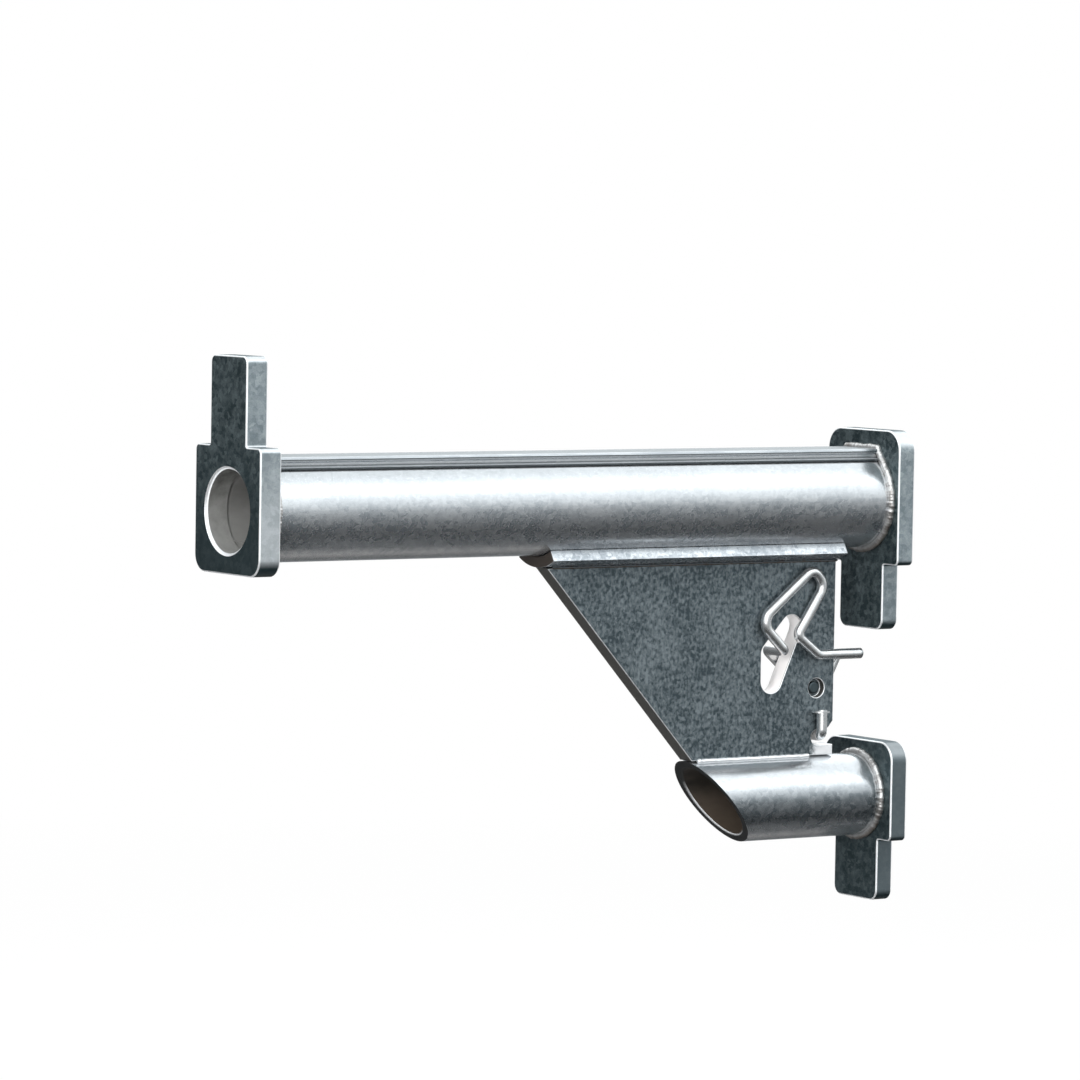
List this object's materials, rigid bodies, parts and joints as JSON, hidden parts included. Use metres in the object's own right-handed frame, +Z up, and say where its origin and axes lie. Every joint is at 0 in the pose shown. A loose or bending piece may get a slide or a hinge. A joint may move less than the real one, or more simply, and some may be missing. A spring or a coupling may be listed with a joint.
{
  "type": "scaffold board bracket",
  "caption": "Galvanised bracket for scaffold boards: a railed tube between an end plate with raised tab and a hook plate, gusseted to a lower hook, with a wire latch against lift-off",
  "frame": {"origin": "on the main tube's axis at the upper hook plate's outer face, the face that stands against the scaffold standard", "axes": "+X points from the bracket to the standard, along the main tube; +Y is across, away from the side with the latch loop; +Z is up"},
  "size_m": [0.442, 0.069, 0.319],
  "materials": {
    "tube": "hot-dip galvanised, satin with a soft spangle",
    "rail": "hot-dip galvanised, satin",
    "plate": "hot-dip galvanised, dull grey with pale broken edges",
    "web": "hot-dip galvanised, dull and mottled blue grey",
    "wire": "bright zinc on round bar",
    "weld": "rippled weld metal under zinc"
  },
  "bodies": {
    "bracket": {"main_tube": "tube", "top_rail": "rail", "outer_end_plate": "plate", "upper_hook_plate": "plate", "lower_hook_plate": "plate", "lower_tube": "tube", "tube_saddle": "rail", "gusset_plate": "web", "keeper_wire": "wire", "keeper_weld": "weld", "weld_outer_plate": "weld", "weld_upper_hook": "weld", "weld_lower_hook": "weld", "weld_saddle_front": "weld", "weld_saddle_back": "weld", "weld_gusset_front": "weld", "weld_gusset_back": "weld"},
    "latch": {"latch_wire": "wire"}
  },
  "joints": [
    {"name": "latch_swing", "type": "hinge", "parent": "bracket", "child": "latch", "pos_m": [-0.0469, 0, -0.1095], "axis": [0, -1, 0], "range_deg": [-12, 32]}
  ]
}
